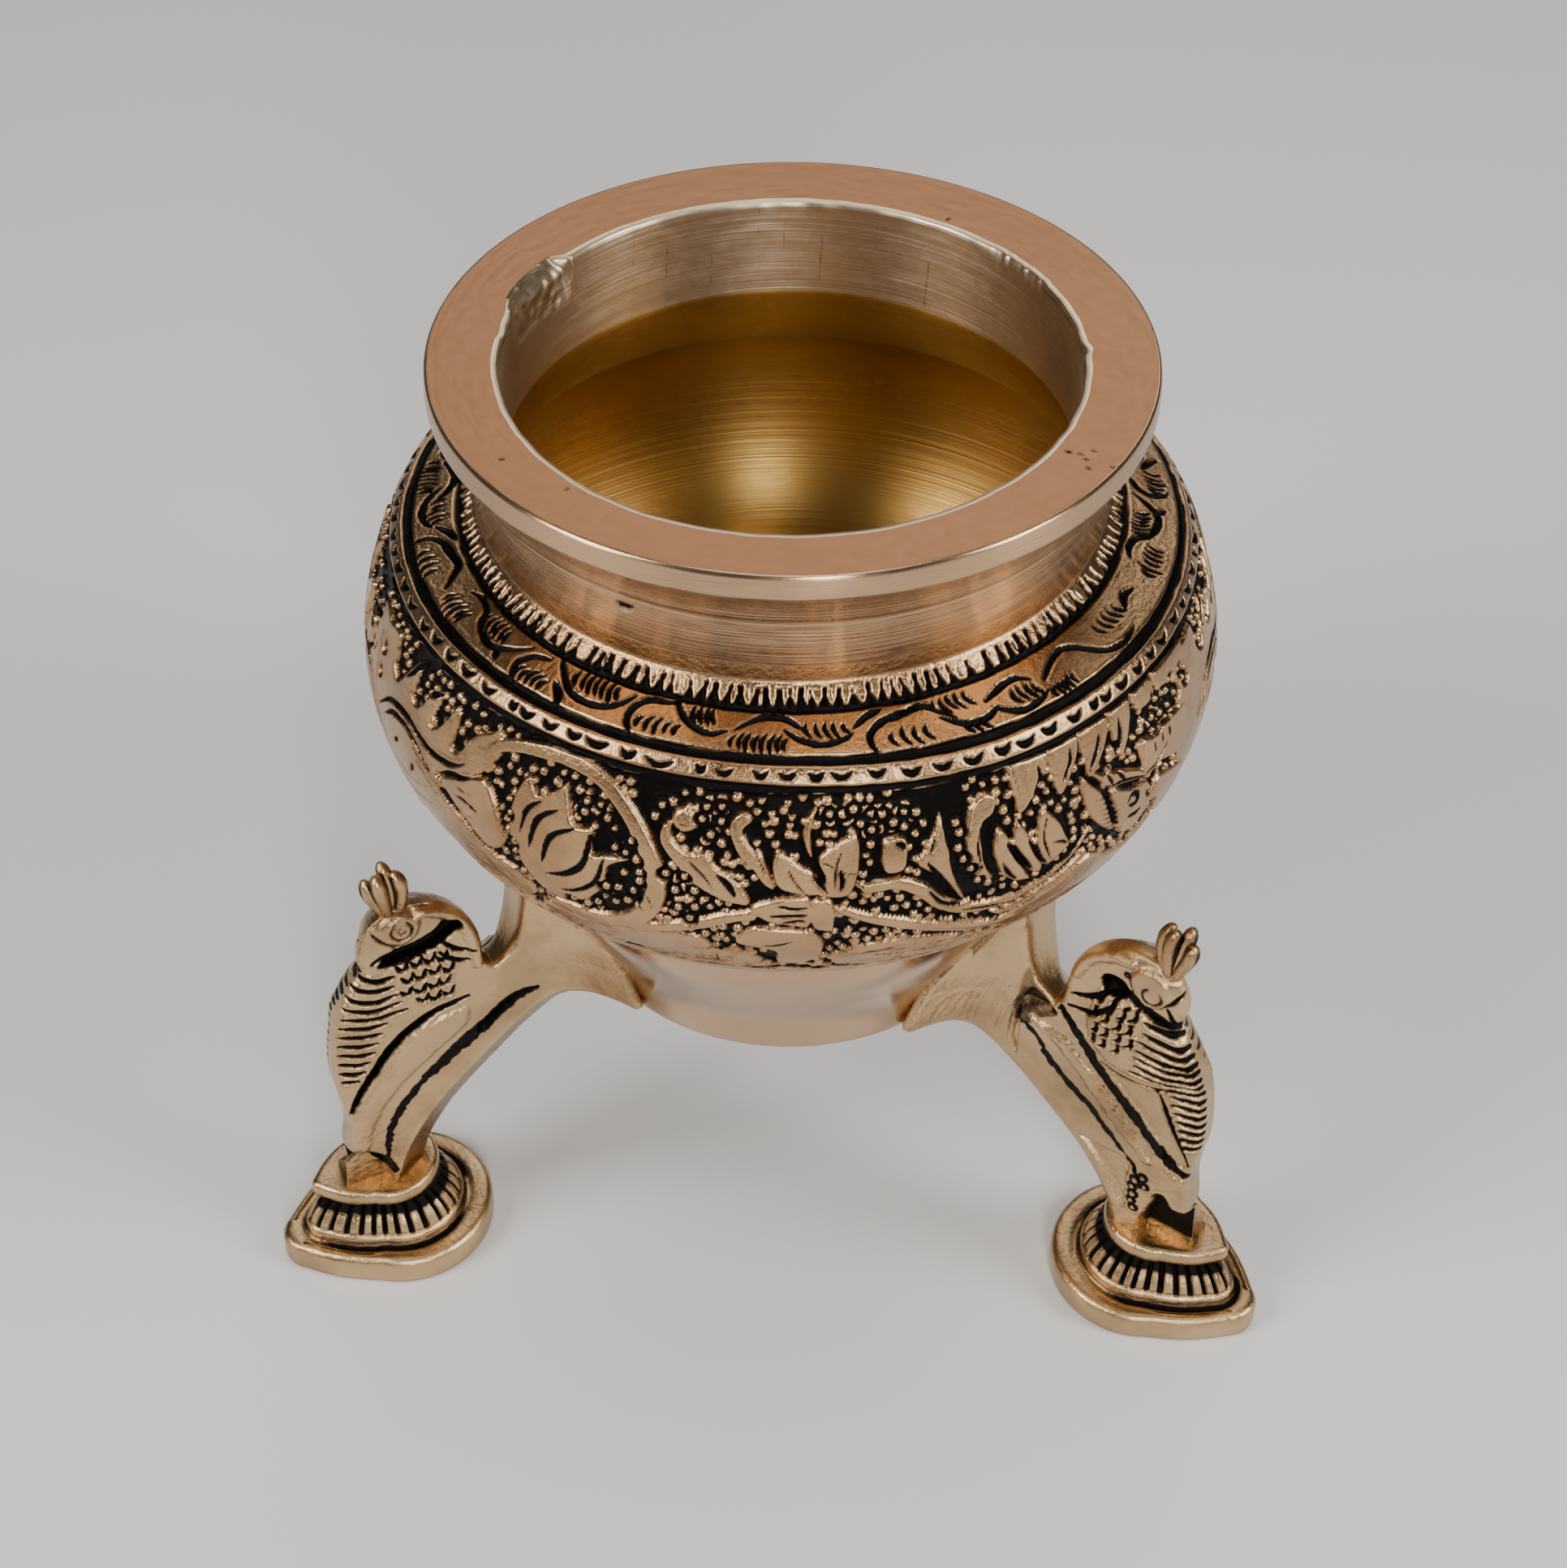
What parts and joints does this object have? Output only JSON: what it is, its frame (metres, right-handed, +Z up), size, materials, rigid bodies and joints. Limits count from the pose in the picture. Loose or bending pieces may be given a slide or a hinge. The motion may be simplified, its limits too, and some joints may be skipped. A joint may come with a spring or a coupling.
{
  "type": "brass urli bowl",
  "caption": "Small footed brass urli: round chased bowl with a thick flat rim, on a turned collar and cast peacock legs with stepped feet.",
  "frame": {"origin": "on the table under the bowl's axis, in the plane of the three feet's undersides", "axes": "+Z up along the bowl's axis through the mouth, +Y towards the rear leg, +X to the right"},
  "size_m": [0.1208, 0.1164, 0.1153],
  "materials": {
    "chased_brass": "turned and hand-chased, black patina in the recesses",
    "polished_brass": "turned and polished",
    "cast_brass": "cast, filed and polished, black patina in the recesses",
    "braze": "brazing filler, dull"
  },
  "bodies": {
    "root": {"bowl": "chased_brass", "collar_ring": "polished_brass", "bowl_braze": "braze", "leg_rear": "cast_brass", "leg_left": "cast_brass", "leg_right": "cast_brass", "braze_rear": "braze", "braze_left": "braze", "braze_right": "braze"}
  },
  "joints": []
}
